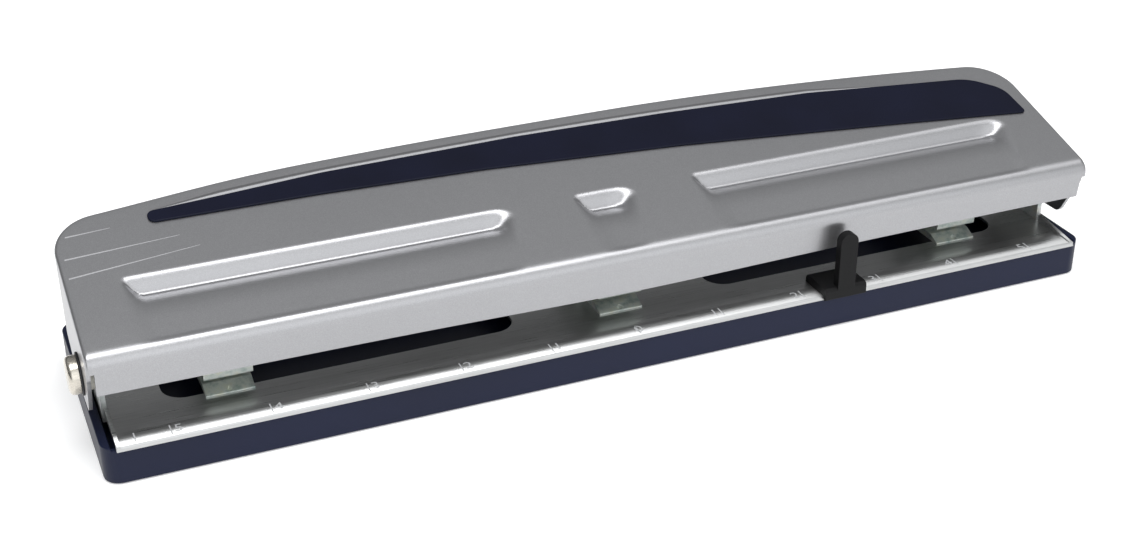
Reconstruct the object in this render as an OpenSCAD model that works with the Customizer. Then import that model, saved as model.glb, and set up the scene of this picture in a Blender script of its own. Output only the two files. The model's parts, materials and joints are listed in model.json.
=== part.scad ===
// Adjustable three-hole punch for paper: a sheet-steel lever over three punching heads,
// a steel plate with a front lip, and a plastic chip tray that carries it all.
// Origin: centre of the footprint at table level. +X along the length, -Y towards the user.

/* [Chip tray] */
// Length of the tray
tray_length = 289; // [285:0.5:295]
// Front face of the tray, in front of the origin
tray_front = 33.5; // [32.5:0.5:34]
// Rear face of the tray, behind the origin
tray_rear = 35; // [35:0.5:40]
// Height of the rims at both ends
rim_top = 10.5; // [10.5:0.1:11]
// Thickness of the front and rear walls
tray_wall = 2; // [1.5:0.1:2.2]
// Plan radius of the four outer corners
tray_corner_r = 4.5; // [2:0.5:6]

/* [Base plate] */
// Height of the plate's top face
plate_top = 10.65; // [10.6:0.05:10.75]
// Thickness of the plate
plate_t = 1; // [0.8:0.1:1.2]
// Half length of the plate over its end flanges
plate_half = 140.9; // [140.5:0.1:141.2]
// Height of the end flanges at their rear ends
flange_top = 12.9; // [12:0.1:14]

/* [Lever] */
// Half length of the lever over its end walls
lever_half = 144.9; // [144.2:0.05:145]
// Thickness of the lever's sheet
sheet = 1; // [0.8:0.1:1.2]
// Slope of the top panel, in degrees
lever_slope = 15.64; // [15:0.1:16]
// Height of the front skirt's lower edge towards the ends
skirt_bottom = 23.95; // [23.5:0.05:25]
// Depth of the front skirt's belly on the centre line
skirt_belly = 1.8; // [0:0.1:2.2]
// Height of the rear skirt's lower edge
rear_skirt_bottom = 38.5; // [38:0.1:40]
// Rear edge of the lever on its centre line
lever_rear = 28.5; // [27.5:0.1:28.5]
// Plan radius of the bowed rear edge
bow_r = 1130; // [1100:1:1300]
// Plan radius of the rear corners
rear_corner_r = 13; // [9:0.5:15]
// Radius of the fold between the top panel and the skirt
fold_r = 3; // [2:0.1:3.5]
// Depth of the pressed steps at their foot, measured straight down
step_depth = 3.5; // [2.5:0.1:4]

/* [Pivot] */
// Distance of the pivot in front of the origin
pivot_front = 14.3; // [14:0.1:14.6]
// Height of the pivot
pivot_z = 22.2; // [22:0.1:22.4]
// Radius of the pivot pins
pivot_r = 2.5; // [2:0.1:2.8]

/* [Punching heads] */
// Distance of the punch pins behind the origin
pin_back = 5.4; // [5.2:0.1:5.6]
// Radius of the punch pins
pin_r = 3.55; // [3.45:0.05:3.6]
// Radial clearance of the punch pins in their bores
pin_fit = 0.05; // [0.03:0.01:0.08]
// Centre distance of the left head from the middle
left_head = 109.4; // [108:0.1:110]
// Centre distance of the right head from the middle
right_head = 109.2; // [108:0.1:110]
// Half width of the heads' jaws
jaw_half = 6.4; // [6:0.1:7]
// Height of the paper gap
paper_gap = 2.4; // [2:0.1:2.6]
// Radius of the spring wire
wire_r = 0.45; // [0.4:0.05:0.5]

/* [Paper guide] */
// Centre of the paper guide along the plate
guide_x = 62.35; // [40:0.5:80]
// Width of the guide's foot
guide_width = 13.1; // [12:0.1:15]
// Height of the guide's upright tab
guide_top = 29.6; // [28:0.1:31]

/* [Hidden] */
$fn = 64;
eps = 0.5;
far = 400;

tray_half = tray_length / 2;
tray_under = 0.3;
floor_top = 2.8;
rim_w = 2.3;
ledge_inner = 136.5;
groove_inner = 139.5;
groove_bottom = 6;
foot_r = 6;
foot_recess = 1.2;
foot_x = 128;
foot_y = 25;
bracket_gap = [-17.2, 22];

plate_bottom = plate_top - plate_t;
plate_front = -34;
plate_rear = tray_rear - 1.2;
slot_x = [29.6, 125.7];
slot_y = [-16.6, 12];
slot_end_r = 6;
screw_y = 20.1;
screw_slot_half = 2.2;
chute_r = 6;
rear_flange_top = 15;

pivot_y = -pivot_front;
pivot_fit = 0.05;
ear_t = 1.5;
ear_outer = 141.6;
ear_inner = ear_outer - ear_t;
bracket_rear = 20;
bracket_foot_inner = 128;
bracket_foot_y = [-9, 19];
washer_t = 0.5;
rivet_x = 132.5;
rivet_ys = [-4, 14];

skirt_half = 143.2;
belly_half = 55;
fold_y = -30.9;
fold_z = 34.27;
skirt_lean = 1.3 / 9.65;
skirt_clearance_z = 32.2;
step_top_y = -5.4;
step_foot_y = -8;
step_front_y = -21.5;
step_spans = [[-131, -26.6], [-8.4, 9.4], [27.4, 131]];
end_wall_cut = [[-400, -400, 0], [-400, skirt_clearance_z, 0], [-30.1, skirt_clearance_z, 0],
  [-30.1, 26.6, 0], [-29.1, 25.6, 1], [-24.2, 20.4, 3], [-21.7, 14.7, 3], [-9.4, 14.7, 5],
  [-1, 17.2, 5], [9.5, 22.8, 4], [15, 27.4, 4], [17, rear_skirt_bottom, 3],
  [400, rear_skirt_bottom, 0],
  [400, -400, 0]];

head_xs = [-left_head, 0, right_head];
pin_y = pin_back;
die_top = plate_top + 2;
block_bottom = die_top + paper_gap;
seat_z = 24;
spring_top = 36.2;
washer_top = 36.9;
cap_top = 40.2;
cap_dome_r = 12;
cap_r = 5;
pin_tip = block_bottom + 0.15;
bar_bottom = cap_top + 0.05;
stop_y = [12.4, 16.4];
rivet_y = 14.4;
rivet_dx = 4.2;
shelf_z = 18.5;
head_rear = 25;
wide_half = 9;
small_fit = 0.05;

// ---- helpers ----

function unit(v) = v / norm(v);

// Points of one rounded corner at b, between a and c
function corner(a, b, c, r, n = 8) =
  let(u = unit(a - b), v = unit(c - b),
      half = acos(u * v) / 2,
      centre = b + unit(u + v) * r / sin(half),
      p = b + u * r / tan(half) - centre,
      q = b + v * r / tan(half) - centre,
      start = atan2(p[1], p[0]),
      turn = atan2(p[0] * q[1] - p[1] * q[0], p * q))
  [for (i = [0 : n]) centre + r * [cos(start + turn * i / n), sin(start + turn * i / n)]];

// Outline whose points are [x, y, corner radius]
function rounded(pts) =
  let(n = len(pts), xy = [for (p = pts) [p[0], p[1]]])
  [for (i = [0 : n - 1])
    each pts[i][2] == 0 ? [xy[i]] : corner(xy[(i + n - 1) % n], xy[i], xy[(i + 1) % n], pts[i][2])];

// Extrudes a side view, drawn as [y, z], from x0 to x1
module along_x(x0, x1) {
  translate([x0, 0, 0])
    rotate([90, 0, 90])
      linear_extrude(x1 - x0)
        children();
}

module block(x, y, z) {
  translate([x[0], y[0], z[0]])
    cube([x[1] - x[0], y[1] - y[0], z[1] - z[0]]);
}

module post(x, y, z, r) {
  translate([x, y, z[0]])
    cylinder(r = r, h = z[1] - z[0]);
}

// Cylinder along X, between two distances on the side given by its sign
module end_pin(side, d0, d1, r) {
  translate([side * d0, pivot_y, pivot_z])
    rotate([0, side * 90, 0])
      cylinder(r = r, h = d1 - d0);
}

module both_ends() {
  children();
  mirror([1, 0, 0])
    children();
}

// ---- tray ----

// Rectangle between two x and two y, with rounded corners
module rounded_box(x, y, r) {
  translate([x[0] + r, y[0]])
    square([x[1] - x[0] - 2 * r, y[1] - y[0]]);
  translate([x[0], y[0] + r])
    square([x[1] - x[0], y[1] - y[0] - 2 * r]);
  for (cx = [x[0] + r, x[1] - r])
    for (cy = [y[0] + r, y[1] - r])
      translate([cx, cy])
        circle(r = r);
}

module foot_pads(z) {
  for (x = [-foot_x, 0, foot_x])
    for (y = [-foot_y, foot_y])
      post(x, y, z, foot_r);
}

module chip_tray() {
  wall_top = plate_bottom;
  color("#2f3354")
    difference() {
      translate([0, 0, tray_under])
        linear_extrude(rim_top - tray_under)
          rounded_box([-tray_half, tray_half], [-tray_front, tray_rear], tray_corner_r);
      block([-tray_half + rim_w, tray_half - rim_w], [-far, far], [wall_top, far]);
      block([-ledge_inner, ledge_inner], [-tray_front + tray_wall, tray_rear - tray_wall],
        [floor_top, far]);
      both_ends() {
        block([groove_inner, tray_half - rim_w], [-tray_front + tray_wall, tray_rear - tray_wall],
          [groove_bottom, far]);
        block([ledge_inner - eps, groove_inner + eps], bracket_gap, [groove_bottom, far]);
      }
      foot_pads([-eps, tray_under + foot_recess]);
    }
}

module rubber_feet() {
  color("#222222")
    foot_pads([0, tray_under + foot_recess]);
}

// ---- plate and pivot brackets ----

module lip_profile() {
  r = plate_t;
  translate([plate_front + r, plate_bottom])
    intersection() {
      circle(r = r);
      translate([-r, 0])
        square([r, r]);
    }
  translate([plate_front + r, plate_bottom])
    square([plate_rear - plate_front - r, plate_t]);
}

// Plan of one adjustment opening on the +X side
module slot_plan() {
  rounded_box(slot_x, slot_y, slot_end_r);
}

module screw_slot_plan() {
  x0 = slot_x[0] + screw_slot_half;
  x1 = slot_x[1] - screw_slot_half;
  translate([x0, screw_y - screw_slot_half])
    square([x1 - x0, 2 * screw_slot_half]);
  for (x = [x0, x1])
    translate([x, screw_y])
      circle(r = screw_slot_half);
}

module flange_profile() {
  rear = bracket_gap[0] - 0.5;
  polygon([[plate_front + 0.2, plate_top - eps], [plate_front + 0.2, plate_top + 0.2],
    [rear, flange_top], [rear, plate_top - eps]]);
}

module base_plate() {
  notch_x = ear_inner - 0.1;
  color("#d5d6d6")
    difference() {
      union() {
        along_x(-plate_half, plate_half)
          lip_profile();
        both_ends()
          along_x(plate_half - plate_t, plate_half)
            flange_profile();
        block([-plate_half, plate_half], [plate_rear - plate_t, plate_rear],
          [plate_bottom, rear_flange_top]);
      }
      both_ends() {
        translate([0, 0, plate_bottom - eps])
          linear_extrude(2 * plate_t)
            slot_plan();
        translate([0, 0, plate_bottom - eps])
          linear_extrude(2 * plate_t)
            screw_slot_plan();
        block([notch_x, far], [bracket_gap[0] + 0.5, bracket_rear + 0.5], [0, far]);
        for (y = rivet_ys)
          post(rivet_x, y, [0, far], 1.5 + small_fit);
      }
      post(0, pin_y, [0, far], chute_r);
      for (x = [-rivet_dx, rivet_dx])
        post(x, screw_y, [0, far], 1.5 + small_fit);
    }
}

// Pivot bracket on the +X end: an upright ear with an eye, and a foot under the plate
module pivot_bracket() {
  eye_r = 6;
  foot_bottom = plate_bottom - ear_t;
  color("#b9bbbd")
    difference() {
      union() {
        along_x(ear_inner, ear_outer) {
          translate([pivot_y, pivot_z])
            circle(r = eye_r);
          polygon([[-16.5, foot_bottom], [-16.5, pivot_z - 4.5], [pivot_y, pivot_z + eye_r],
            [pivot_y + 3, pivot_z + 5], [bracket_rear, plate_top + 3], [bracket_rear, foot_bottom]]);
        }
        block([bracket_foot_inner, ear_inner + eps], bracket_foot_y, [foot_bottom, plate_bottom]);
      }
      end_pin(1, ear_inner - 5, ear_outer + 5, pivot_r + small_fit);
      for (y = rivet_ys)
        post(rivet_x, y, [0, far], 1.5 + small_fit);
    }
}

module pivot_bracket_right() {
  pivot_bracket();
}

module pivot_bracket_left() {
  mirror([1, 0, 0])
    pivot_bracket();
}

module bracket_rivets() {
  color("#c9cacb")
    both_ends()
      for (y = rivet_ys) {
        post(rivet_x, y, [plate_bottom - ear_t - 0.8, plate_top + 0.8], 1.5);
        post(rivet_x, y, [plate_top, plate_top + 0.8], 2.8);
        post(rivet_x, y, [plate_bottom - ear_t - 0.8, plate_bottom - ear_t], 2.8);
      }
}

// ---- pivot hardware ----

module pivot_pin(side) {
  head_in = lever_half + 0.05 + washer_t;
  head_t = 2.9;
  dome = 1.3;
  color("#c8c2b2") {
    end_pin(side, ear_inner - 1.9, head_in + eps, pivot_r);
    translate([side * head_in, pivot_y, pivot_z])
      rotate([0, side * 90, 0])
        rotate_extrude() {
          square([5 - dome, head_t]);
          square([5, head_t - dome]);
          translate([5 - dome, head_t - dome])
            circle(r = dome);
        }
  }
}

module pivot_pin_right() {
  pivot_pin(1);
}

module pivot_pin_left() {
  pivot_pin(-1);
}

module ring_pair(d0, d1, r, hole) {
  for (side = [-1, 1])
    difference() {
      end_pin(side, d0, d1, r);
      end_pin(side, d0 - 1, d1 + 1, hole);
    }
}

module pivot_washers() {
  color("#55575b")
    ring_pair(lever_half + 0.05, lever_half + 0.05 + washer_t, 5.6, pivot_r + small_fit);
}

module pivot_spacers() {
  color("#e8e4d8")
    ring_pair(ear_outer, lever_half - sheet - 0.05, 4.5, pivot_r + small_fit);
}

module pivot_clips() {
  color("#8d8f92")
    ring_pair(ear_inner - 1.2, ear_inner - 0.2, 4.2, pivot_r + small_fit);
}

// ---- lever ----

function skirt_dir() = unit([skirt_lean, -1]);
function top_dir() = [cos(lever_slope), sin(lever_slope)];

// Points of an arc between two angles
function arc(centre, r, a0, a1, n) =
  [for (i = [0 : n]) centre + r * [cos(a0 + (a1 - a0) * i / n), sin(a0 + (a1 - a0) * i / n)]];

// Where a corner at b between two lines moves to when both lines move inwards by d
function moved_corner(a, b, c, d) =
  let(u = unit(a - b), v = unit(c - b))
  b + unit(u + v) * d / sin(acos(u * v) / 2);

// Height of the top panel's outer face at a given y
function top_z(y) = fold_z + (y - fold_y) * tan(lever_slope);

// Distance along the top panel from the fold to a given y
function panel_v(y) = (y - fold_y) / cos(lever_slope);

// Side view of the folded sheet's body, moved inwards by inset
module lever_side(inset) {
  fold = [fold_y, fold_z];
  centre = moved_corner(fold + skirt_dir(), fold, fold + top_dir(), fold_r);
  skirt_angle = 180 + atan(skirt_lean);
  bend = arc(centre, fold_r - inset, skirt_angle, 90 + lever_slope, 8);
  polygon(concat([bend[0] + 40 * skirt_dir()], bend, [bend[8] + 90 * top_dir(), [far, -10]]));
}

// Plan of the lever, with its bowed rear edge, moved inwards by inset
module lever_plan(inset) {
  cx = lever_half - rear_corner_r;
  tilt = asin(cx / (bow_r - rear_corner_r));
  bow_centre = [0, lever_rear - bow_r];
  cy = bow_centre[1] + (bow_r - rear_corner_r) * cos(tilt);
  half = lever_half - inset;
  r = rear_corner_r - inset;
  bow = arc(bow_centre, bow_r - inset, 90 - tilt, 90 + tilt, 24);
  polygon(concat([[-half, -60], [half, -60]], arc([cx, cy], r, 0, 90 - tilt, 8),
    [for (i = [1 : 23]) bow[i]], arc([-cx, cy], r, 90 + tilt, 180, 8)));
}

// Room above the floor and in front of the rear face of each pressed step, grown by wall
module pressed_steps(wall) {
  top = [step_top_y, top_z(step_top_y)];
  foot = [step_foot_y, top_z(step_foot_y) - step_depth];
  front = [step_front_y, top_z(step_front_y)];
  corner = moved_corner(top, foot, front, -wall);
  up = 5 * (top - foot);
  out = 4 * (front - foot);
  for (span = step_spans)
    along_x(span[0] - wall, span[1] + wall)
      polygon([corner, corner + out, [corner[0] + out[0], 80], [corner[0] + up[0], 80], corner + up]);
}

module lever_body(inset) {
  difference() {
    intersection() {
      linear_extrude(80)
        lever_plan(inset);
      along_x(-far, far)
        lever_side(inset);
    }
    pressed_steps(inset);
  }
}

// Moves children, drawn in the plane z = 0, onto the top panel's outer face
module on_top_panel() {
  translate([0, fold_y, fold_z])
    rotate([lever_slope, 0, 0])
      children();
}

// Room below the front skirt, whose lower edge has a shallow belly in the middle
module skirt_edge() {
  steps = 24;
  edge = [for (i = [-steps : steps])
    let(x = skirt_half * i / steps)
    [x, skirt_bottom - skirt_belly / (1 + pow(x / belly_half, 2))]];
  polygon(concat([[-skirt_half, 0]], edge, [[skirt_half, 0]]));
}

module lever_shell() {
  lowest = skirt_bottom - skirt_belly;
  middle_cut = [[-far, -far], [-far, lowest], [-20, lowest], [10, rear_skirt_bottom],
    [far, rear_skirt_bottom], [far, -far]];
  color("#85868a")
    difference() {
      lever_body(0);
      lever_body(sheet);
      along_x(-skirt_half, skirt_half)
        polygon(middle_cut);
      translate([0, -20, 0])
        rotate([90, 0, 0])
          linear_extrude(20)
            skirt_edge();
      both_ends()
        along_x(skirt_half, far)
          polygon(rounded(end_wall_cut));
      end_pin(1, -far, far, pivot_r + pivot_fit);
    }
}

module lever_grip() {
  pad_t = 0.6;
  color("#1c1e2d")
    on_top_panel()
      linear_extrude(pad_t)
        grip_plan();
}

// Swept outline of the grip: narrow at the left end, wide at the right end
module grip_plan() {
  outline = [[-120, 17, 2], [-100, 18.4, 30], [-72, 20.6, 60], [-15, 21.9, 90], [30, 21.3, 90],
    [78, 19.4, 60], [131, 13.6, 14], [139.6, 6.5, 8], [140.2, -5.2, 1.2], [100, -0.6, 60],
    [30, 6.7, 90], [-28, 10.8, 90], [-75, 12.4, 60], [-120, 12.7, 2]];
  polygon(rounded([for (p = outline) [p[0], panel_v(p[1]), p[2]]]));
}

module press_bar() {
  front = -1.5;
  rear = 12.5;
  bar_t = 1.2;
  under = sheet / cos(lever_slope) + 0.02;
  color("#a9abad")
    along_x(-134, 134)
      polygon([[front, bar_bottom], [front, top_z(front) - under], [front + 0.6, bar_bottom + bar_t],
        [rear - bar_t, bar_bottom + bar_t], [rear - bar_t, top_z(rear - bar_t) - under],
        [rear, top_z(rear) - under], [rear, bar_bottom]]);
}

// ---- paper guide ----

module guide_at() {
  translate([guide_x, 0, 0])
    children();
}

module paper_guide() {
  hook_front = -35;
  hook_bottom = 9.7;
  foot_rear = -23.7;
  foot_top = 13.3;
  tab_half = 2.75;
  tab_rear = -32.5;
  clear_lip = plate_front - 0.15;
  half = guide_width / 2;
  color("#17181a")
    guide_at() {
      difference() {
        along_x(-half, half)
          polygon(rounded([[hook_front, hook_bottom, 0.3], [hook_front, foot_top, 1.2],
            [foot_rear, foot_top, 1.5], [foot_rear, plate_top + 0.02, 0],
            [clear_lip, plate_top + 0.02, 0], [clear_lip, hook_bottom, 0]]));
        block([-4, 4], [-30, -26.5], [plate_top - 1, plate_top + 1.2]);
      }
      translate([0, tab_rear, 0])
        rotate([90, 0, 0])
          linear_extrude(tab_rear - hook_front) {
            translate([-tab_half, foot_top - 1])
              square([2 * tab_half, guide_top - tab_half - foot_top + 1]);
            translate([0, guide_top - tab_half])
              circle(r = tab_half);
          }
    }
}

module guide_spring() {
  color("#b0b2b4")
    guide_at()
      along_x(-3.5, 3.5)
        polygon([[-29.8, plate_top + 1.15], [-29.8, plate_top + 0.9], [-28.25, plate_top + 0.03],
          [-26.7, plate_top + 0.9], [-26.7, plate_top + 1.15], [-28.25, plate_top + 0.35]]);
}

// ---- punching heads ----

module at_head(i) {
  translate([head_xs[i], 0, 0])
    children();
}

module head_rivet_holes() {
  for (x = [-rivet_dx, rivet_dx])
    post(x, rivet_y, [0, far], 1.2 + small_fit);
}

// Lower jaw with the die hole; adjustable heads also have guide tongues and a screw hole
module die_plate(i, adjustable) {
  lip_front = -19.1;
  tongue_x = 3.2;
  color("#c3c8bf")
    at_head(i)
      difference() {
        union() {
          along_x(-jaw_half, jaw_half)
            polygon([[lip_front, plate_top], [lip_front, plate_top + 0.45], [-15.4, die_top],
              [0, die_top], [0, plate_top]]);
          block([-wide_half, wide_half], [-8, head_rear], [plate_top, die_top]);
          if (adjustable)
            for (y = [[slot_y[0] + 0.1, -13.5], [slot_y[1] - 0.9, slot_y[1] - 0.1]])
              block([-tongue_x, tongue_x], y, [plate_bottom, plate_top + eps]);
        }
        translate([0, lip_front, plate_top])
          rotate([0, 0, 45])
            translate([0, 0, 0.2])
              cube([1.4, 1.4, 6], center = false);
        post(0, pin_y, [0, far], pin_r + pin_fit);
        post(0, pin_y, [0, die_top - 1.2], pin_r + 0.5);
        head_rivet_holes();
        if (adjustable)
          post(0, screw_y, [0, far], 2.2);
        else
          for (x = [-rivet_dx, rivet_dx])
            post(x, screw_y, [0, far], 1.5 + small_fit);
      }
}

module paper_stop(i) {
  color("#aeb1b0")
    at_head(i)
      difference() {
        block([-wide_half, wide_half], stop_y, [die_top, block_bottom]);
        head_rivet_holes();
      }
}

module guide_block(i) {
  boss_r = 7;
  color("#c7cbc4")
    at_head(i)
      difference() {
        union() {
          along_x(-jaw_half, jaw_half)
            polygon(rounded([[-18.4, block_bottom, 0.6], [-19.4, 25.5, 0.8], [-17.6, 25.5, 0.8],
              [-14.4, 20.5, 3], [-4, 20.5, 2], [-2, seat_z, 1], [stop_y[0], seat_z, 0.8],
              [stop_y[0], shelf_z, 0], [stop_y[1], shelf_z, 0.6], [stop_y[1], block_bottom, 0]]));
          post(0, pin_y, [block_bottom, seat_z], boss_r);
        }
        post(0, pin_y, [0, far], pin_r + pin_fit);
        head_rivet_holes();
      }
}

module head_rivets(i) {
  color("#9fa2a5")
    at_head(i)
      for (x = [-rivet_dx, rivet_dx]) {
        post(x, rivet_y, [plate_top, shelf_z + 1], 1.2);
        post(x, rivet_y, [shelf_z, shelf_z + 1], 1.9);
      }
}

// Punch pin with a hollow-ground tip
module punch_pin(i) {
  color("#d9dadb")
    at_head(i)
      difference() {
        post(0, pin_y, [pin_tip, washer_top], pin_r);
        translate([0, pin_y, pin_tip - 0.01])
          cylinder(r1 = pin_r - 0.3, r2 = 0.2, h = 1.3);
      }
}

module pin_cap(i) {
  dome_z = cap_top - cap_dome_r;
  color("#8f9295")
    at_head(i)
      translate([0, pin_y, 0])
        intersection() {
          translate([0, 0, washer_top])
            cylinder(r = cap_r, h = 6);
          translate([0, 0, dome_z])
            sphere(r = cap_dome_r);
        }
}

module spring_washer(i) {
  color("#a7a9ab")
    at_head(i)
      difference() {
        post(0, pin_y, [spring_top, washer_top], 5.7);
        post(0, pin_y, [0, far], pin_r + small_fit);
      }
}

// Helical wire between two heights, as one closed tube
module coil(mean_r, turns, z0, z1) {
  sides = 6;
  steps = 18 * turns;
  lift = z1 - z0 - 2 * wire_r;
  points = [for (i = [0 : steps], j = [0 : sides - 1])
    let(a = 360 * turns * i / steps, b = 360 * j / sides, r = mean_r + wire_r * cos(b))
    [r * cos(a), r * sin(a), z0 + wire_r + lift * i / steps + wire_r * sin(b)]];
  skin = [for (i = [0 : steps - 1], j = [0 : sides - 1])
    let(k = (j + 1) % sides)
    [i * sides + j, i * sides + k, (i + 1) * sides + k, (i + 1) * sides + j]];
  first_cap = [for (j = [sides - 1 : -1 : 0]) j];
  last_cap = [for (j = [0 : sides - 1]) steps * sides + j];
  polyhedron(points, concat([first_cap], skin, [last_cap]), convexity = 8);
}

module punch_spring(i) {
  color("#b5b8ba")
    at_head(i)
      translate([0, pin_y, 0])
        coil(4.8, 6, seat_z + 0.03, spring_top - 0.03);
}

module lock_screw(i) {
  color("#b9bcbe")
    at_head(i)
      difference() {
        union() {
          post(0, screw_y, [plate_bottom - 3.2, die_top + eps], 2);
          post(0, screw_y, [die_top, die_top + 2.4], 3.6);
        }
        post(0, screw_y, [die_top + 0.9, far], 1.5);
      }
}

module clamp_nut(i) {
  color("#9a9da0")
    at_head(i)
      difference() {
        block([-7, 7], [15.5, 25], [plate_bottom - 2.5, plate_bottom - 0.05]);
        post(0, screw_y, [0, far], 2 + small_fit);
      }
}

module centre_screws() {
  color("#b9bcbe")
    for (x = [-rivet_dx, rivet_dx])
      difference() {
        union() {
          post(x, screw_y, [plate_bottom - 1.5, die_top + eps], 1.5);
          post(x, screw_y, [die_top, die_top + 1.8], 2.7);
        }
        post(x, screw_y, [die_top + 0.7, far], 1.1);
      }
}

chip_tray();
rubber_feet();
base_plate();
pivot_bracket_left();
pivot_bracket_right();
bracket_rivets();
pivot_pin_left();
pivot_pin_right();
pivot_washers();
pivot_spacers();
pivot_clips();
lever_shell();
lever_grip();
press_bar();
paper_guide();
guide_spring();
die_plate(0, true);  // die_plate_left
die_plate(1, false);  // die_plate_centre
die_plate(2, true);  // die_plate_right
paper_stop(0);  // paper_stop_left
paper_stop(1);  // paper_stop_centre
paper_stop(2);  // paper_stop_right
guide_block(0);  // guide_block_left
guide_block(1);  // guide_block_centre
guide_block(2);  // guide_block_right
head_rivets(0);  // head_rivets_left
head_rivets(1);  // head_rivets_centre
head_rivets(2);  // head_rivets_right
punch_pin(0);  // punch_pin_left
punch_pin(1);  // punch_pin_centre
punch_pin(2);  // punch_pin_right
pin_cap(0);  // pin_cap_left
pin_cap(1);  // pin_cap_centre
pin_cap(2);  // pin_cap_right
spring_washer(0);  // spring_washer_left
spring_washer(1);  // spring_washer_centre
spring_washer(2);  // spring_washer_right
punch_spring(0);  // punch_spring_left
punch_spring(1);  // punch_spring_centre
punch_spring(2);  // punch_spring_right
lock_screw(0);  // lock_screw_left
lock_screw(2);  // lock_screw_right
clamp_nut(0);  // clamp_nut_left
clamp_nut(2);  // clamp_nut_right
centre_screws();
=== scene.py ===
import json
import math
import bmesh
import bpy
from mathutils import Matrix, Vector


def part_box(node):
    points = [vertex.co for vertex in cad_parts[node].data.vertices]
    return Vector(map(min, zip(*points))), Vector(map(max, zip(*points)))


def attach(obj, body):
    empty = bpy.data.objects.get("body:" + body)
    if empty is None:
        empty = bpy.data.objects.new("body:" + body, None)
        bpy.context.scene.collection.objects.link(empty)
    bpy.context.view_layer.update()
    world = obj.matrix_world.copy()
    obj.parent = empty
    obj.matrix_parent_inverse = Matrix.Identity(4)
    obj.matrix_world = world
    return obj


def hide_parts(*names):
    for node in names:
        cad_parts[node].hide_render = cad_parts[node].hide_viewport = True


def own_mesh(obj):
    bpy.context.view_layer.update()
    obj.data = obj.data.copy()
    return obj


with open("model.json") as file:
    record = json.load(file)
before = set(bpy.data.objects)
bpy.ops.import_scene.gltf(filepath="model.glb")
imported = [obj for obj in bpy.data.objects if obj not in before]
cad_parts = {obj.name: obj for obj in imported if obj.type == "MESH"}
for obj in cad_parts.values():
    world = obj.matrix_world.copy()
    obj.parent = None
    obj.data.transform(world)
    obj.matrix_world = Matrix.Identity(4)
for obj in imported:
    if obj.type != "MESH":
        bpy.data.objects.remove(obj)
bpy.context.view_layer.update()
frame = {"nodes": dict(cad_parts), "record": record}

# Sizes are in millimetres and angles in degrees; MM turns them into Blender's metres.
MM = 0.001
NODES = frame["nodes"]
SLOTS = {part["node"]: part["material_slot"] for part in frame["record"]["subparts"]}
BEHAVIOUR = frame["record"]["behaviour"]
BODY_OF = {node: body for body, nodes in BEHAVIOUR["bodies"].items() for node in nodes}


# ---------------------------------------------------------------- node helpers

def new_material(name):
    """An empty node material and its shader, with object coordinates ready to use."""
    material = bpy.data.materials.new(name)
    material.use_nodes = True
    tree = material.node_tree
    shader = tree.nodes["Principled BSDF"]
    coords = tree.nodes.new("ShaderNodeTexCoord").outputs["Object"]
    return material, tree, shader, coords


def stretched(tree, coords, scale):
    """Coordinates scaled along each axis, for grain that runs one way."""
    mapping = tree.nodes.new("ShaderNodeMapping")
    mapping.inputs["Scale"].default_value = scale
    tree.links.new(coords, mapping.inputs["Vector"])
    return mapping.outputs["Vector"]


def noise(tree, coords, scale, detail=3.0, roughness=0.5):
    """Soft random clouds."""
    node = tree.nodes.new("ShaderNodeTexNoise")
    node.inputs["Scale"].default_value = scale
    node.inputs["Detail"].default_value = detail
    node.inputs["Roughness"].default_value = roughness
    tree.links.new(coords, node.inputs["Vector"])
    return node.outputs["Fac"]


def cells(tree, coords, scale):
    """Distance to the nearest of many scattered points."""
    node = tree.nodes.new("ShaderNodeTexVoronoi")
    node.inputs["Scale"].default_value = scale
    tree.links.new(coords, node.inputs["Vector"])
    return node.outputs["Distance"]


def ramp(tree, value, stops):
    """A colour ramp; stops are (position, colour)."""
    node = tree.nodes.new("ShaderNodeValToRGB")
    elements = node.color_ramp.elements
    while len(elements) < len(stops):
        elements.new(0.5)
    for element, (position, colour) in zip(elements, stops):
        element.position = position
        element.color = (*colour, 1.0)
    tree.links.new(value, node.inputs["Fac"])
    return node.outputs["Color"]


def spread(tree, value, low, high, start=0.3, end=0.7):
    """Maps a noise value onto a range."""
    node = tree.nodes.new("ShaderNodeMapRange")
    node.inputs["From Min"].default_value = start
    node.inputs["From Max"].default_value = end
    node.inputs["To Min"].default_value = low
    node.inputs["To Max"].default_value = high
    tree.links.new(value, node.inputs["Value"])
    return node.outputs["Result"]


def calc(tree, operation, a, b):
    """A Math node on two values or sockets."""
    node = tree.nodes.new("ShaderNodeMath")
    node.operation = operation
    for socket, value in zip(node.inputs, (a, b)):
        if isinstance(value, (int, float)):
            socket.default_value = value
        else:
            tree.links.new(value, socket)
    return node.outputs[0]


def bump(tree, shader, layers):
    """Stacks bump layers; each is (height, strength, depth in millimetres)."""
    normal = None
    for height, strength, depth in layers:
        node = tree.nodes.new("ShaderNodeBump")
        node.inputs["Strength"].default_value = strength
        node.inputs["Distance"].default_value = depth * MM
        tree.links.new(height, node.inputs["Height"])
        if normal:
            tree.links.new(normal, node.inputs["Normal"])
        normal = node.outputs["Normal"]
    tree.links.new(normal, shader.inputs["Normal"])


def shade(colour, factor):
    """The colour made lighter or darker."""
    return tuple(min(1.0, channel * factor) for channel in colour)


def mixed(tree, base, over, amount):
    """The colour base, with over laid on it by amount."""
    node = tree.nodes.new("ShaderNodeMix")
    node.data_type = "RGBA"
    tree.links.new(amount, node.inputs["Factor"])
    tree.links.new(base, node.inputs["A"])
    tree.links.new(over, node.inputs["B"])
    return node.outputs["Result"]


# ---------------------------------------------------------------- materials

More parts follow.
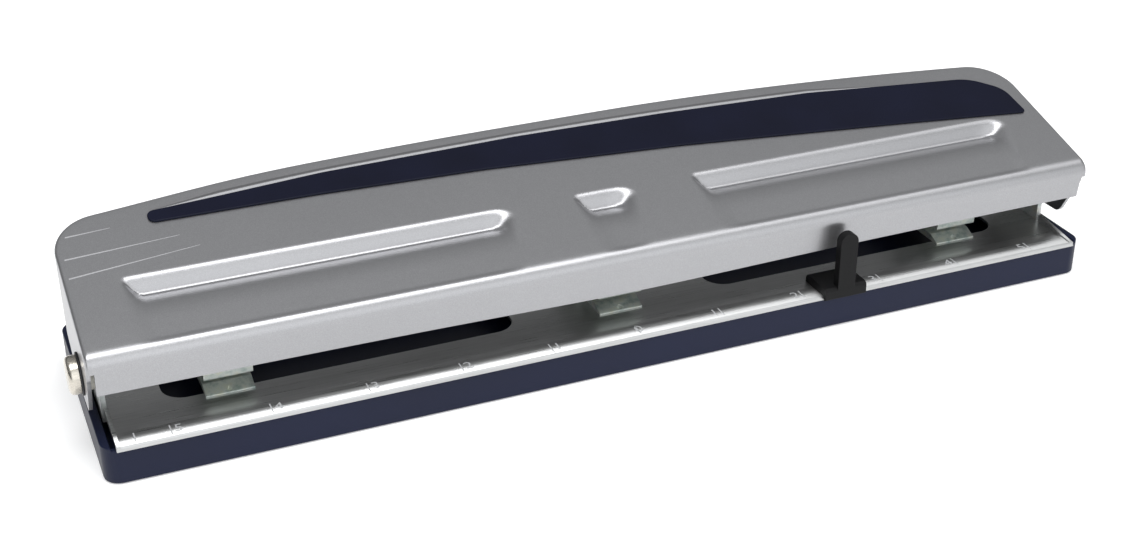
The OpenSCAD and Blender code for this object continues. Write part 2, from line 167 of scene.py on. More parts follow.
def metallic_paint(name, colour):
    """Silver-grey paint with fine metal flakes over pressed sheet."""
    material, tree, shader, coords = new_material(name)
    cloud = noise(tree, coords, 14, 3)
    flakes = noise(tree, coords, 5200, 1.5)
    tone = ramp(tree, cloud, [(0.35, shade(colour, 0.95)), (0.65, shade(colour, 1.05))])
    sparkle = ramp(tree, flakes, [(0.42, shade(colour, 0.86)), (0.62, shade(colour, 1.16))])
    half = spread(tree, cloud, 0.45, 0.55)
    tree.links.new(mixed(tree, tone, sparkle, half), shader.inputs["Base Color"])
    tree.links.new(spread(tree, flakes, 0.29, 0.39), shader.inputs["Roughness"])
    shader.inputs["Metallic"].default_value = 0.9
    shader.inputs["Coat Weight"].default_value = 0.12
    shader.inputs["Coat Roughness"].default_value = 0.18
    bump(tree, shader, [(noise(tree, coords, 900, 2), 0.05, 0.05), (flakes, 0.05, 0.01)])
    return material


# The plate's front border, from ROLL_START forwards, shades as if it rolled down with this radius
ROLL_START = -26.0
ROLL_R = 10.0


def nickel_plate(name, colour):
    """Nickel over rolled sheet: lines along the length, soft clouds, and a front border that rolls gently down."""
    material, tree, shader, coords = new_material(name)
    lines = noise(tree, stretched(tree, coords, (40, 2600, 2600)), 1.0, 3, 0.65)
    cloud = noise(tree, coords, 60, 4)
    tone = ramp(tree, cloud, [(0.3, shade(colour, 0.88)), (0.7, shade(colour, 1.03))])
    streak = ramp(tree, lines, [(0.35, shade(colour, 0.78)), (0.65, shade(colour, 1.08))])
    tree.links.new(mixed(tree, tone, streak, spread(tree, cloud, 0.3, 0.7)), shader.inputs["Base Color"])
    tree.links.new(spread(tree, lines, 0.26, 0.40), shader.inputs["Roughness"])
    shader.inputs["Metallic"].default_value = 0.95
    split = tree.nodes.new("ShaderNodeSeparateXYZ")
    tree.links.new(coords, split.inputs[0])
    ahead = calc(tree, "MAXIMUM", calc(tree, "SUBTRACT", ROLL_START * MM, split.outputs["Y"]), 0.0)
    roll = calc(tree, "DIVIDE", calc(tree, "MULTIPLY", ahead, ahead), -2 * ROLL_R * MM)
    bump(tree, shader, [(roll, 1.0, 1 / MM), (lines, 0.2, 0.04), (cloud, 0.10, 0.05)])
    return material


def plated_casting(name, colour, grain):
    """Zinc-plated metal: passivated patches, a cloudy shine and a fine grain."""
    material, tree, shader, coords = new_material(name)
    patches = noise(tree, coords, 320, 5, 0.6)
    fine = noise(tree, coords, grain, 3)
    warm = (colour[0] * 1.04, colour[1], colour[2] * 0.86)
    cool = (colour[0] * 0.50, colour[1] * 0.60, colour[2] * 0.60)
    tone = ramp(tree, patches, [(0.30, cool), (0.52, colour), (0.72, warm)])
    tree.links.new(tone, shader.inputs["Base Color"])
    tree.links.new(spread(tree, patches, 0.28, 0.46), shader.inputs["Roughness"])
    shader.inputs["Metallic"].default_value = 0.6
    bump(tree, shader, [(fine, 0.3, 0.05), (patches, 0.6, 0.2)])
    return material


def turned_metal(name, colour, rough):
    """Drawn or turned steel: tight marks and a little tarnish."""
    material, tree, shader, coords = new_material(name)
    marks = noise(tree, stretched(tree, coords, (900, 900, 3800)), 1.0, 2)
    tarnish = noise(tree, coords, 240, 4)
    tone = ramp(tree, tarnish, [(0.3, shade(colour, 0.80)), (0.65, shade(colour, 1.06))])
    tree.links.new(tone, shader.inputs["Base Color"])
    tree.links.new(spread(tree, marks, rough * 0.8, rough * 1.3), shader.inputs["Roughness"])
    shader.inputs["Metallic"].default_value = 1.0
    bump(tree, shader, [(marks, 0.12, 0.015)])
    return material


def moulded_plastic(name, colour, rough, level=0.4):
    """Injection-moulded plastic with a fine spark-eroded texture."""
    material, tree, shader, coords = new_material(name)
    cloud = noise(tree, coords, 22, 3)
    pits = cells(tree, coords, 3200)
    tone = ramp(tree, cloud, [(0.3, shade(colour, 0.90)), (0.7, shade(colour, 1.12))])
    tree.links.new(tone, shader.inputs["Base Color"])
    tree.links.new(spread(tree, cloud, rough * 0.9, rough * 1.12), shader.inputs["Roughness"])
    shader.inputs["Specular IOR Level"].default_value = level
    bump(tree, shader, [(pits, 0.18, 0.02), (noise(tree, coords, 140, 3), 0.05, 0.08)])
    return material


def soft_rubber(name, colour, rough):
    """Dark rubber with a fine matte skin."""
    material, tree, shader, coords = new_material(name)
    cloud = noise(tree, coords, 45, 4)
    skin = noise(tree, coords, 4200, 3)
    tone = ramp(tree, cloud, [(0.3, shade(colour, 0.85)), (0.7, shade(colour, 1.2))])
    tree.links.new(tone, shader.inputs["Base Color"])
    tree.links.new(spread(tree, skin, rough * 0.88, rough * 1.12), shader.inputs["Roughness"])
    shader.inputs["Specular IOR Level"].default_value = 0.12
    bump(tree, shader, [(skin, 0.20, 0.02)])
    return material


def floor_paper(name, colour):
    """White studio table, faintly lit from below."""
    material, tree, shader, coords = new_material(name)
    fibre = noise(tree, coords, 60, 4)
    tone = ramp(tree, fibre, [(0.3, shade(colour, 0.99)), (0.7, colour)])
    tree.links.new(tone, shader.inputs["Base Color"])
    shader.inputs["Roughness"].default_value = 0.9
    shader.inputs["Specular IOR Level"].default_value = 0.1
    shader.inputs["Emission Color"].default_value = (1.0, 1.0, 1.0, 1.0)
    shader.inputs["Emission Strength"].default_value = 0.28
    return material


MATERIALS = {
    "tray": moulded_plastic("navy_moulding", (0.005, 0.008, 0.028), 0.42, level=0.22),
    "rubber": soft_rubber("foot_rubber", (0.020, 0.020, 0.022), 0.8),
    "plate": nickel_plate("nickel_plate", (0.50, 0.505, 0.505)),
    "bracket": plated_casting("bracket_zinc", (0.60, 0.61, 0.60), 2600),
    "pivot": turned_metal("pivot_nickel", (0.66, 0.62, 0.55), 0.24),
    "dark_washer": turned_metal("washer_blacking", (0.06, 0.06, 0.065), 0.45),
    "nylon": moulded_plastic("spacer_nylon", (0.72, 0.70, 0.63), 0.5),
    "lever_paint": metallic_paint("lever_paint", (0.365, 0.366, 0.378)),
    "grip": soft_rubber("grip_navy", (0.004, 0.005, 0.015), 0.5),
    "steel": turned_metal("plain_steel", (0.52, 0.52, 0.53), 0.34),
    "guide": moulded_plastic("guide_black", (0.003, 0.003, 0.0035), 0.5, level=0.2),
    "zinc": plated_casting("head_zinc", (0.66, 0.70, 0.66), 2100),
    "hard_steel": turned_metal("ground_steel", (0.68, 0.68, 0.70), 0.18),
    "spring": turned_metal("spring_wire", (0.58, 0.58, 0.60), 0.26),
    "screw": plated_casting("screw_zinc", (0.62, 0.63, 0.62), 3000),
}
INK = moulded_plastic("scale_number", (0.50, 0.51, 0.52), 0.4)
PALE_LINE = metallic_paint("pale_line", (0.80, 0.80, 0.82))
# Painted shade: the lever's inner faces get a near-black finish that stands in for the shadow under the lever, and so
# darkens its reflection in the plate.
LEVER_INSIDE_SHADE = moulded_plastic("lever_inside_painted_shade", (0.035, 0.036, 0.040), 0.55)


# ---------------------------------------------------------------- mesh helpers

def link(name, data):
    """A new object in the scene."""
    thing = bpy.data.objects.new(name, data)
    bpy.context.scene.collection.objects.link(thing)
    return thing


def add_object(name, mesh, material):
    """A new piece with one finish."""
    piece = link(name, mesh)
    mesh.materials.clear()
    mesh.materials.append(material)
    return piece


def final_mesh(thing):
    """The mesh that an object's modifiers or text settings make."""
    bpy.context.view_layer.update()
    return bpy.data.meshes.new_from_object(thing.evaluated_get(bpy.context.evaluated_depsgraph_get()))


def bake_modifiers(piece):
    """Puts the modifiers' result into the piece's own mesh."""
    mesh = final_mesh(piece)
    piece.modifiers.clear()
    piece.data = mesh


def smooth(piece, angle):
    """Smooth shading, with edges sharper than angle kept crisp."""
    for polygon in piece.data.polygons:
        polygon.use_smooth = True
    piece.data.set_sharp_from_angle(angle=math.radians(angle))


def round_edges(piece, width, segments, corner):
    """Rounds the edges sharper than corner, with a radius near width."""
    modifier = piece.modifiers.new("rounding", "BEVEL")
    modifier.width = width * MM
    modifier.segments = segments
    modifier.limit_method = "ANGLE"
    modifier.angle_limit = math.radians(corner)
    modifier.miter_outer = "MITER_ARC"
    weighted = piece.modifiers.new("normals", "WEIGHTED_NORMAL")
    weighted.keep_sharp = True
    bake_modifiers(piece)


def stand_for(piece, node):
    """The piece takes a CAD node's place and body."""
    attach(piece, BODY_OF[node])
    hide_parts(node)


def laid_on(piece, body):
    """An extra piece that rides on a body and stands for no CAD node."""
    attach(piece, body)


def edged(node, width=0.2, segments=2, corner=32):
    """A copy of a CAD node with its sharp edges rounded."""
    mesh = NODES[node].data.copy()
    work = bmesh.new()
    work.from_mesh(mesh)
    bmesh.ops.remove_doubles(work, verts=work.verts, dist=1e-6)
    bmesh.ops.dissolve_limit(work, angle_limit=math.radians(0.4), verts=work.verts, edges=work.edges)
    work.to_mesh(mesh)
    work.free()
    piece = add_object("skin_" + node, mesh, MATERIALS[SLOTS[node]])
    smooth(piece, corner)
    round_edges(piece, width, segments, corner)
    stand_for(piece, node)


def mesh_piece(name, vertices, faces, material):
    """A piece from points in millimetres."""
    mesh = bpy.data.meshes.new(name)
    mesh.from_pydata([tuple(c * MM for c in v) for v in vertices], [], faces)
    mesh.validate()
    return add_object(name, mesh, material)


# ---------------------------------------------------------------- lever

# Panel: half length, rear edge, slope, and the line where it would meet the skirt
LEVER_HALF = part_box("lever_shell")[1].x / MM
LEVER_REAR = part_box("lever_shell")[1].y / MM
SLOPE = math.tan(math.radians(15.64))
FOLD_Y = -30.9
FOLD_Z = 34.27
# Front skirt: lean per millimetre of drop, lower edge, its belly, and the slits at its two ends
SKIRT_LEAN = 1.3 / 9.65
SKIRT_BOTTOM = 23.95
SKIRT_BELLY = 1.8
BELLY_HALF = 55.0
SLIT_X = 143.2
# Rear edge: the low wall's lower edge, the bow, and its swellings as (height, middle, width)
REAR_BOTTOM = 38.5
BOW_R = 1130.0
BOW_SWELLS = [(0.85, -92, 30), (-0.45, -8, 30)]
BOW_SWELL_END = 129
REAR_CORNER_R = 13.0
# Sheet, its bends, and the depth to which every bend is closed before the walls part
SHEET = 1.0
FOLD_R = 4.2
EDGE_BEND_R = 1.1
BEND_STEPS = 9
FRONT_CORNER_R = 1.0
COLLAR = 4.1


def panel_z(y):
    """Height of the top panel's plane."""
    return FOLD_Z + (y - FOLD_Y) * SLOPE


def bend_profile(radius, slope, lean):
    """Cross-section of an edge bend: (distance in from the edge, drop below the panel) from panel to wall."""
    inward = Vector((1, slope)).normalized()
    down = Vector((lean, -1)).normalized()
    half = inward.angle(down) / 2
    centre = (inward + down).normalized() * radius / math.sin(half)
    first = math.atan2(inward.x, -inward.y)
    last = math.pi + math.atan(lean)
    angles = [first + (last - first) * i / BEND_STEPS for i in range(BEND_STEPS + 1)]
    points = [centre + radius * Vector((math.cos(a), math.sin(a))) for a in angles]
    return [(p.x, slope * p.x - p.y) for p in points]


def rounded_outline(points, steps=6):
    """An open outline whose points are (a, b, corner radius), with its corners turned into arcs."""
    result = [Vector(points[0][:2])]
    for before, here, after in zip(points, points[1:], points[2:]):
        corner, radius = Vector(here[:2]), here[2]
        u = (Vector(before[:2]) - corner).normalized()
        v = (Vector(after[:2]) - corner).normalized()
        if radius == 0:
            result.append(corner)
            continue
        half = u.angle(v) / 2
        centre = corner + (u + v).normalized() * radius / math.sin(half)
        p = corner + u * radius / math.tan(half) - centre
        turn = p.angle_signed(corner + v * radius / math.tan(half) - centre)
        result += [centre + Matrix.Rotation(-turn * i / steps, 2) @ p for i in range(steps + 1)]
    return result + [Vector(points[-1][:2])]


END_WALL = rounded_outline([(-29.2, 27.6, 0), (-26.4, 24.0, 2), (-21.5, 15.0, 3), (-9.4, 14.7, 5),
                            (-1, 17.2, 5), (9.5, 22.8, 4), (15, 27.4, 4), (17, REAR_BOTTOM, 3), (60, REAR_BOTTOM, 0)])


def end_wall_bottom(y):
    """Height of the end wall's lower edge."""
    for a, b in zip(END_WALL, END_WALL[1:]):
        if a.x <= y <= b.x:
            return a.y + (b.y - a.y) * (y - a.x) / max(b.x - a.x, 1e-6)
    return END_WALL[0].y if y < END_WALL[0].x else REAR_BOTTOM


# Pressed steps: left and right ends, the top and foot of the rear slope, where the floor meets the panel, and depth
STEP_SPANS = [(-131, -26.6), (-8.4, 9.4), (27.4, 131)]
STEP_REAR = -5.4
STEP_FOOT = -8.0
STEP_FRONT = -20.5
STEP_DEPTH = 3.5


def soft_min(a, b, width):
    """The smaller of two heights, blended where they are within width of each other."""
    h = max(width - abs(a - b), 0) / width
    return min(a, b) - h * h * width / 4


def soft_max(a, b, width):
    """The larger of two heights, blended the same way."""
    return -soft_min(-a, -b, width)


def corner_min(a, b, radius):
    """The smaller of two distances from straight edges, with the corner between the edges rounded."""
    if a < radius and b < radius:
        return radius - math.hypot(radius - a, radius - b)
    return min(a, b)


def step_dip(x, y):
    """Depth of the pressed steps below the panel: steep at the rear, slanted at the ends, running out in front."""
    back = STEP_REAR - y
    rear_slope = STEP_DEPTH / (STEP_REAR - STEP_FOOT)
    floor = STEP_DEPTH * (max(y - STEP_FRONT, 0) / (STEP_FOOT - STEP_FRONT)) ** 2
    depth = 0.0
    for x0, x1 in STEP_SPANS:
        right_end = (x1 - 0.33 * back - x) * 0.62
        left_end = (x - x0 - 0.14 * back) * 1.2 / (1 + 0.25 * max(back, 0))
        wall = corner_min(corner_min(back, right_end, 4.0), left_end, 1.5) * rear_slope
        depth = max(depth, soft_max(soft_min(wall, floor, 1.0), 0.0, 1.2))
    return depth


def skirt_bottom(x):
    """Height of the skirt's lower edge, which has a shallow belly in the middle."""
    return SKIRT_BOTTOM - SKIRT_BELLY / (1 + (x / BELLY_HALF) ** 2)


def bow_shift(x):
    """How far the rear edge stands from a plain circular bow."""
    swell = sum(height * math.exp(-((x - middle) / width) ** 2) for height, middle, width in BOW_SWELLS)
    return swell * max(0, 1 - (x / BOW_SWELL_END) ** 8)


def lever_columns():
    """X places of the panel's columns, closer together where the steps end."""
    xs = {-SLIT_X, SLIT_X, -SLIT_X - 0.02, SLIT_X + 0.02}
    for edge in [e for span in STEP_SPANS for e in span]:
        xs |= {round(edge + 0.4 * i, 3) for i in range(-12, 13)}
    coarse = [round(-132 + 3 * i, 3) for i in range(89)]
    xs |= {x for x in coarse if all(abs(x - other) > 1.2 for other in xs)}
    return sorted(xs)


def lever_shell():
    """The lever's bent sheet: panel, fold, skirt, end walls and rear wall, light outside, and dark inside with
    painted shade.
    """
    front_bend = bend_profile(FOLD_R, SLOPE, SKIRT_LEAN)
    end_bend = bend_profile(EDGE_BEND_R, 0.0, 0.0)
    rear_bend = bend_profile(EDGE_BEND_R, -SLOPE, 0.0)
    rings = BEND_STEPS + 1
    bow_centre = Vector((0, LEVER_REAR - BOW_R))
    corner_x = LEVER_HALF - REAR_CORNER_R
    tilt = math.asin(corner_x / (BOW_R - REAR_CORNER_R))
    corner_y = bow_centre.y + (BOW_R - REAR_CORNER_R) * math.cos(tilt)
    arc_steps = 26

    def rear_point(angle, side, inset):
        """On the rear corner's arc; angle runs from the end wall to the bow."""
        r = REAR_CORNER_R - inset
        return side * (corner_x + r * math.cos(angle)), corner_y + r * math.sin(angle)

    arc = [(math.pi / 2 - tilt) * i / arc_steps for i in range(1, arc_steps + 1)]
    arc_xs = [rear_point(a, 1, end_bend[0][0])[0] for a in arc]
    inner = [x for x in lever_columns() if abs(x) < min(arc_xs) - 0.2]
    columns = [-x for x in arc_xs] + inner + arc_xs[::-1]
    edge_x = LEVER_HALF - end_bend[0][0]
    columns = [-edge_x, *columns, edge_x]
    last = len(columns) - 1

    def column_ends(i):
        """Front and rear y of one panel column at the bend's start."""
        x = columns[i]
        front = FOLD_Y + front_bend[0][0]
        from_end = min(i, last - i)
        if from_end == 0:
            return front, corner_y
        if from_end <= arc_steps:
            inset = end_bend[0][0] + (rear_bend[0][0] - end_bend[0][0]) * from_end / arc_steps
            return front, rear_point(arc[from_end - 1], 1, inset)[1]
        return front, bow_centre.y + math.sqrt((BOW_R - rear_bend[0][0]) ** 2 - x * x) + bow_shift(x)

    # Rows are close together over the steps; behind them they spread evenly to the rear edge
    fine = [-26.4 + 0.8 * i for i in range(20)] + [-10 + 0.35 * i for i in range(18)] + [-3.2, -2.0]
    rear_rows = 22
    vertices, faces = [], []
    grid = []
    for i, x in enumerate(columns):
        front, rear = column_ends(i)
        ys = [front, *fine, *(fine[-1] + (rear - fine[-1]) * j / rear_rows for j in range(1, rear_rows + 1))]
        grid.append([len(vertices) + j for j in range(len(ys))])
        vertices += [(x, y, panel_z(y) - step_dip(x, y)) for y in ys]
    rows = len(grid[0])
    for i in range(last):
        for j in range(rows - 1):
            faces.append((grid[i][j], grid[i + 1][j], grid[i + 1][j + 1], grid[i][j + 1]))

    # Perimeter stations: panel vertex, a function ring -> (x, y, drop), the wall's lower edge, its lean and its flap
    stations = []

    def blend(a, b, t):
        return [(p[0] + (q[0] - p[0]) * t, p[1] + (q[1] - p[1]) * t) for p, q in zip(a, b)]

    def front_station(vertex, x):
        flap = "skirt" if abs(x) <= SLIT_X else None
        stations.append((vertex, lambda k: (x, FOLD_Y + front_bend[k][0], front_bend[k][1]), skirt_bottom(x),
                         SKIRT_LEAN, flap))

    def corner_radius(k):
        """Plan radius of one ring at the corner between the skirt and an end wall."""
        return max(FRONT_CORNER_R - (end_bend[k][0] + front_bend[k][0]) / 2, 0)

    def front_corner(vertex, side, t):
        """t runs from 0 at the end wall to 1 at the skirt."""
        a = t * math.pi / 2

        def place(k):
            ex, ey = end_bend[k][0], front_bend[k][0]
            r = corner_radius(k)
            x = side * (LEVER_HALF - ex - r * (1 - math.cos(a)))
            return x, FOLD_Y + ey + r * (1 - math.sin(a)), front_bend[k][1]
        stations.append((vertex, place, 0, SKIRT_LEAN * t, None))

    def end_station(vertex, side, y, lean=0.0):
        """An end wall's station; near the skirt its bend turns into the fold."""
        def place(k):
            limit = FOLD_Y + front_bend[k][0] + corner_radius(k)
            share = min(max((y - limit) / 1.5, 0), 1)
            drop = front_bend[k][1] + (end_bend[k][1] - front_bend[k][1]) * share
            return side * (LEVER_HALF - end_bend[k][0]), max(y, limit), drop
        stations.append((vertex, place, end_wall_bottom(y), lean, "wall"))

    def rear_corner(vertex, side, angle, t):
        bend = blend(end_bend, rear_bend, t)
        bottom = end_wall_bottom(corner_y + REAR_CORNER_R * math.sin(angle))
        stations.append((vertex, lambda k: (*rear_point(angle, side, bend[k][0]), bend[k][1]), bottom, 0, "wall"))

    def bow_station(vertex, x):
        def place(k):
            r = BOW_R - rear_bend[k][0]
            scale = r / (BOW_R - rear_bend[0][0])
            return x * scale, bow_centre.y + math.sqrt(r * r - (x * scale) ** 2) + bow_shift(x), rear_bend[k][1]
        stations.append((vertex, place, REAR_BOTTOM, 0, "wall"))

    for i in range(1, last):
        if abs(columns[i]) < LEVER_HALF - FRONT_CORNER_R - 0.3:
            front_station(grid[i][0], columns[i])
        else:
            front_corner(grid[i][0], math.copysign(1, columns[i]), 1.0)
    for t in (0.75, 0.5, 0.25, 0.0):
        front_corner(grid[last][0], 1, t)
    corner_walls = [(-29.2, 0.22), (-28.6, 0.15), (-28.0, 0.08)]
    for y, lean in corner_walls:
        end_station(grid[last][0], 1, y, lean)
    for j in range(1, rows):
        end_station(grid[last][j], 1, vertices[grid[last][j]][1])
    for n, a in enumerate(arc):
        rear_corner(grid[last - 1 - n][rows - 1], 1, a, (n + 1) / arc_steps)
    for i in range(last - arc_steps - 1, arc_steps, -1):
        bow_station(grid[i][rows - 1], columns[i])
    for n in range(arc_steps - 1, -1, -1):
        rear_corner(grid[n + 1][rows - 1], -1, arc[n], (n + 1) / arc_steps)
    for j in range(rows - 1, 0, -1):
        end_station(grid[0][j], -1, vertices[grid[0][j]][1])
    for y, lean in reversed(corner_walls):
        end_station(grid[0][0], -1, y, lean)
    for t in (0.0, 0.25, 0.5, 0.75):
        front_corner(grid[0][0], -1, t)

    # Every station has the bend and a short collar below it; only stations of one flap are joined further down
    wall_rows = 4
    strips = []
    for vertex, place, bottom, lean, flap in stations:
        strip = [vertex]
        for k in range(1, rings):
            x, y, drop = place(k)
            strip.append(len(vertices))
            vertices.append((x, y, panel_z(y) - drop))
        x, y, z = vertices[-1]
        collar = z - (panel_z(y) - COLLAR)
        drops = [collar]
        if flap:
            drops += [collar + (z - bottom - collar) * k / wall_rows for k in range(1, wall_rows + 1)]
        for down in drops:
            strip.append(len(vertices))
            vertices.append((x, y + lean * down, z - down))
        strips.append((strip, flap))
    for (a, flap_a), (b, flap_b) in zip(strips, strips[1:] + strips[:1]):
        depth = len(a) - 1 if flap_a and flap_a == flap_b else rings
        for k in range(depth):
            face = [a[k], a[k + 1], b[k + 1], b[k]]
            if face[0] == face[3]:
                face.pop()
            faces.append(tuple(face))

    piece = mesh_piece("lever_skin", vertices, faces, MATERIALS["lever_paint"])
    work = bmesh.new()
    work.from_mesh(piece.data)
    bmesh.ops.remove_doubles(work, verts=work.verts, dist=1e-7)
    bmesh.ops.delete(work, geom=[v for v in work.verts if not v.link_faces], context="VERTS")
    bmesh.ops.recalc_face_normals(work, faces=work.faces)
    top = max(work.faces, key=lambda f: f.calc_center_median().z)
    if top.normal.z < 0:
        bmesh.ops.reverse_faces(work, faces=work.faces)
    work.to_mesh(piece.data)
    work.free()
    # Painted shade: the inner faces take the near-black finish in place of the shadow under the lever.
    piece.data.materials.append(LEVER_INSIDE_SHADE)
    thick = piece.modifiers.new("sheet", "SOLIDIFY")
    thick.thickness = SHEET * MM
    thick.offset = -1
    thick.material_offset = 1
    bake_modifiers(piece)
    smooth(piece, 40)
    stand_for(piece, "lever_shell")


GRIP_REAR = [(-118.6, 17.15), (-100, 18.4), (-86, 19.55), (-72, 20.4), (-44, 21.25), (-15, 21.8), (8, 21.7),
             (30, 21.25), (54, 20.45), (78, 19.2), (100, 17.3)]


def grip_lip():
    """A low pressed lip in the panel along the grip's rear edge."""
    section = ((0.0, 0.0), (0.55, 0.62), (0.85, 0.62), (2.4, 0.0))
    vertices, faces = [], []
    ends = (0, len(GRIP_REAR) - 1)
    for i, (x, y) in enumerate(GRIP_REAR):
        size = 0.2 if i in ends else 1
        vertices += [(x, y + dy * size, panel_z(y + dy * size) + dz * size) for dy, dz in section]
    for i in range(ends[1]):
        for k in range(4):
            m = (k + 1) % 4
            faces.append((4 * i + k, 4 * i + 4 + k, 4 * i + 4 + m, 4 * i + m))
    faces += [(0, 1, 2, 3), tuple(4 * ends[1] + k for k in (3, 2, 1, 0))]
    laid_on(mesh_piece("grip_lip", vertices, faces, MATERIALS["lever_paint"]), "lever")


PALE_LINES = [((-141.4, 12.9), (-129.9, 13.7)), ((-143.0, 4.8), (-113.5, 6.7)), ((-143.2, -2.1), (-109.4, 1.8))]


def panel_lines():
    """Three fine pale lines near the panel's left end, which thin out to the right."""
    lift = 0.03
    vertices, faces = [], []
    for (xa, ya), (xb, yb) in PALE_LINES:
        base = len(vertices)
        for x, y, half in ((xa, ya, 0.22), (xb, yb, 0.05)):
            for dy in (-half, half):
                vertices.append((x, y + dy, panel_z(y + dy) + lift))
        faces.append((base, base + 2, base + 3, base + 1))
    piece = mesh_piece("pale_lines", vertices, faces, PALE_LINE)
    thick = piece.modifiers.new("film", "SOLIDIFY")
    thick.thickness = lift * MM
    bake_modifiers(piece)
    laid_on(piece, "lever")


# ---------------------------------------------------------------- springs


def coil_spring(node, turns, wire):
    """Round wire between a CAD spring's two ends, with closed end turns."""
    low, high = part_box(node)
    centre = (low + high) / 2
    mean_r = (high.y - low.y) / 2 / MM - wire / 2
    height = (high.z - low.z) / MM - wire
    sides, per_turn = 10, 36
    steps = int(turns * per_turn)
    vertices, faces = [], []
    for i in range(steps + 1):
        t = i / steps
        rise = t - 0.035 * math.sin(2 * math.pi * t)
        a = 2 * math.pi * turns * t
        for j in range(sides):
            b = 2 * math.pi * j / sides
            r = mean_r + wire / 2 * math.cos(b)
            z = low.z / MM + wire / 2 + height * rise + wire / 2 * math.sin(b)
            vertices.append((centre.x / MM + r * math.cos(a), centre.y / MM + r * math.sin(a), z))
    for i in range(steps):
        for j in range(sides):
            k = (j + 1) % sides
            faces.append((i * sides + j, (i + 1) * sides + j, (i + 1) * sides + k, i * sides + k))
    faces.append(tuple(range(sides)))
    faces.append(tuple(steps * sides + j for j in reversed(range(sides))))
    piece = mesh_piece("coil_" + node, vertices, faces, MATERIALS["spring"])
    smooth(piece, 60)
    stand_for(piece, node)
    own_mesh(piece)


# ---------------------------------------------------------------- scale on the plate

PLATE_TOP = 10.65
INCH = 25.4
# The ink starts a little inside the plate and stands 0.015 mm over it, so that the guide passes over it
INK_T = 0.045
INK_Z = PLATE_TOP - 0.03
TICK_ENDS = (-32.4, -28.0)
TICK_W = 0.35


def solid_number(text, name, place):
    """A text block turned into a mesh, with the ink finish."""
    number = link(name, text)
    number.location = place
    mesh = final_mesh(number)
    matrix = number.matrix_world.copy()
    bpy.data.objects.remove(number)
    piece = add_object(name, mesh, INK)
    piece.matrix_world = matrix
    return piece


def scale_marks():
    """Inch marks and their numbers on the plate's front border."""
    vertices, faces = [], []

    def tick(x):
        base = len(vertices)
        (y0, y1), left, right = TICK_ENDS, x - TICK_W / 2, x + TICK_W / 2
        for z in (INK_Z, INK_Z + INK_T):
            vertices.extend([(left, y0, z), (right, y0, z), (right, y1, z), (left, y1, z)])
        for face in ((3, 2, 1, 0), (4, 5, 6, 7), (0, 1, 5, 4), (1, 2, 6, 5), (2, 3, 7, 6), (3, 0, 4, 7)):
            faces.append(tuple(base + n for n in face))

    for n in (*range(-5, 6), -5.35):
        tick(n * INCH)
    laid_on(mesh_piece("scale_ticks", vertices, faces, INK), "frame")
    for n in range(-5, 6):
        shift = 0.4 if n == 0 else -math.copysign(2, n)
        text = bpy.data.curves.new(f"scale_number_{n + 5}", "FONT")
        text.body = str(abs(n))
        text.align_x = "CENTER"
        text.align_y = "CENTER"
        text.size = 4.8 * MM
        text.extrude = INK_T * MM / 2
        text.resolution_u = 6
        place = ((n * INCH + shift) * MM, -30.1 * MM, (INK_Z + INK_T / 2) * MM)
        laid_on(solid_number(text, f"scale_number_{n + 5}", place), "frame")


# ---------------------------------------------------------------- build

def build():
    """Every piece of the punch, with the width of its rounded edges."""
    lever_shell()
    edged("lever_grip", 0.3, 3)
    edged("chip_tray", 0.45, 3)
    edged("base_plate", 0.22, 2)
    edged("paper_guide", 0.35, 2)
    for side in ("left", "right"):
        edged("pivot_bracket_" + side, 0.2)
        edged("pivot_pin_" + side, 0.15)
        edged("lock_screw_" + side, 0.3)
        edged("clamp_nut_" + side, 0.3)
    for place in ("left", "centre", "right"):
        edged("die_plate_" + place, 0.2)
        edged("paper_stop_" + place, 0.15)
        edged("guide_block_" + place, 0.45, 3)
        edged("head_rivets_" + place, 0.3)
        edged("punch_pin_" + place, 0.1)
        edged("pin_cap_" + place, 0.3)
        edged("spring_washer_" + place, 0.12)
        coil_spring("punch_spring_" + place, 6.5, 0.9)
    for node in ("press_bar", "bracket_rivets", "pivot_washers", "pivot_spacers", "pivot_clips", "centre_screws"):
        edged(node, 0.15)
    edged("guide_spring", 0.05)
    edged("rubber_feet", 0.4)


# ---------------------------------------------------------------- stage

def camera():
    """Looks down on the punch from the front left."""
    target = Vector((-14.23, -16.20, 22.0)) * MM
    distance = 474.27 * MM
    azimuth, elevation, roll = math.radians(22.59), math.radians(28.30), math.radians(-0.2)
    back = Vector((-math.sin(azimuth) * math.cos(elevation), -math.cos(azimuth) * math.cos(elevation),
                   math.sin(elevation)))
    data = bpy.data.cameras.new("camera")
    data.sensor_width = 36
    data.lens = 54.97
    data.clip_start = 0.01
    view = link("camera", data)
    view.rotation_mode = "QUATERNION"
    view.location = target + back * distance
    turn = Matrix.Rotation(roll, 4, back)
    view.rotation_quaternion = (turn @ (-back).to_track_quat("-Z", "Y").to_matrix().to_4x4()).to_quaternion()
    bpy.context.scene.camera = view


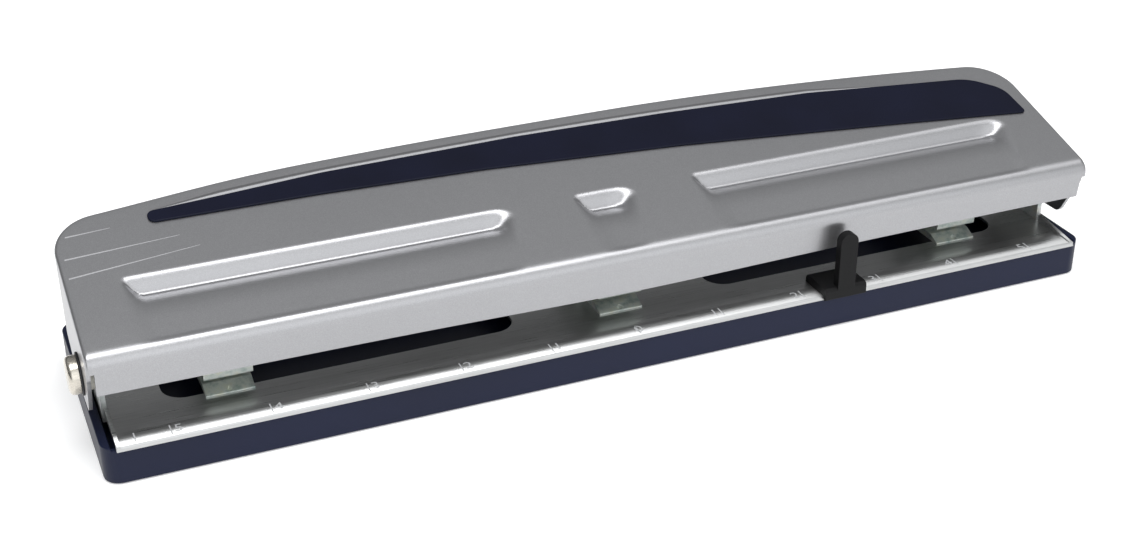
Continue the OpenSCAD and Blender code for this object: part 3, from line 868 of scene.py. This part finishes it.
def stepped(tree, value, source, target):
    """A smooth step from one range to another."""
    node = tree.nodes.new("ShaderNodeMapRange")
    node.interpolation_type = "SMOOTHSTEP"
    for socket, number in zip(("From Min", "From Max", "To Min", "To Max"), (*source, *target)):
        node.inputs[socket].default_value = number
    tree.links.new(value, node.inputs["Value"])
    return node.outputs["Result"]


def softbox(name, place, aim, size, power):
    """A rectangular lamp, in metres and watts."""
    data = bpy.data.lights.new(name, "AREA")
    data.shape = "RECTANGLE"
    data.size, data.size_y = size
    data.energy = power
    lamp = link(name, data)
    lamp.location = place
    lamp.rotation_mode = "QUATERNION"
    lamp.rotation_quaternion = (Vector(aim) - Vector(place)).to_track_quat("-Z", "Y")


def studio():
    """White table, a pale sky that is brightest behind the camera, and two softboxes overhead."""
    bpy.ops.mesh.primitive_plane_add(size=8)
    floor = bpy.context.object
    floor.name = "floor"
    floor.data.materials.append(floor_paper("floor_paper", (0.92, 0.92, 0.92)))
    world = bpy.data.worlds.new("studio")
    world.use_nodes = True
    tree = world.node_tree
    direction = tree.nodes.new("ShaderNodeTexCoord").outputs["Generated"]
    facing = tree.nodes.new("ShaderNodeVectorMath")
    facing.operation = "DOT_PRODUCT"
    facing.inputs[1].default_value = (0.08, -0.97, 0.22)
    tree.links.new(direction, facing.inputs[0])
    split = tree.nodes.new("ShaderNodeSeparateXYZ")
    tree.links.new(direction, split.inputs[0])
    front = stepped(tree, facing.outputs["Value"], (0.6, 1.0), (0.0, 1.7))
    above = stepped(tree, split.outputs["Z"], (0.0, 0.8), (0.06, 0.42))
    background = tree.nodes["Background"]
    background.inputs["Color"].default_value = (0.98, 0.99, 1.0, 1.0)
    tree.links.new(calc(tree, "ADD", front, above), background.inputs["Strength"])
    bpy.context.scene.world = world
    softbox("overhead", (-0.15, -0.17, 0.8), (-0.15, -0.02, 0), (0.9, 0.4), 5.5)
    softbox("overhead_right", (0.6, -0.17, 0.8), (0.3, -0.02, 0), (0.6, 0.4), 1.1)


build()
scale_marks()
panel_lines()
grip_lip()
camera()
studio()
bpy.context.scene.view_settings.view_transform = "Standard"
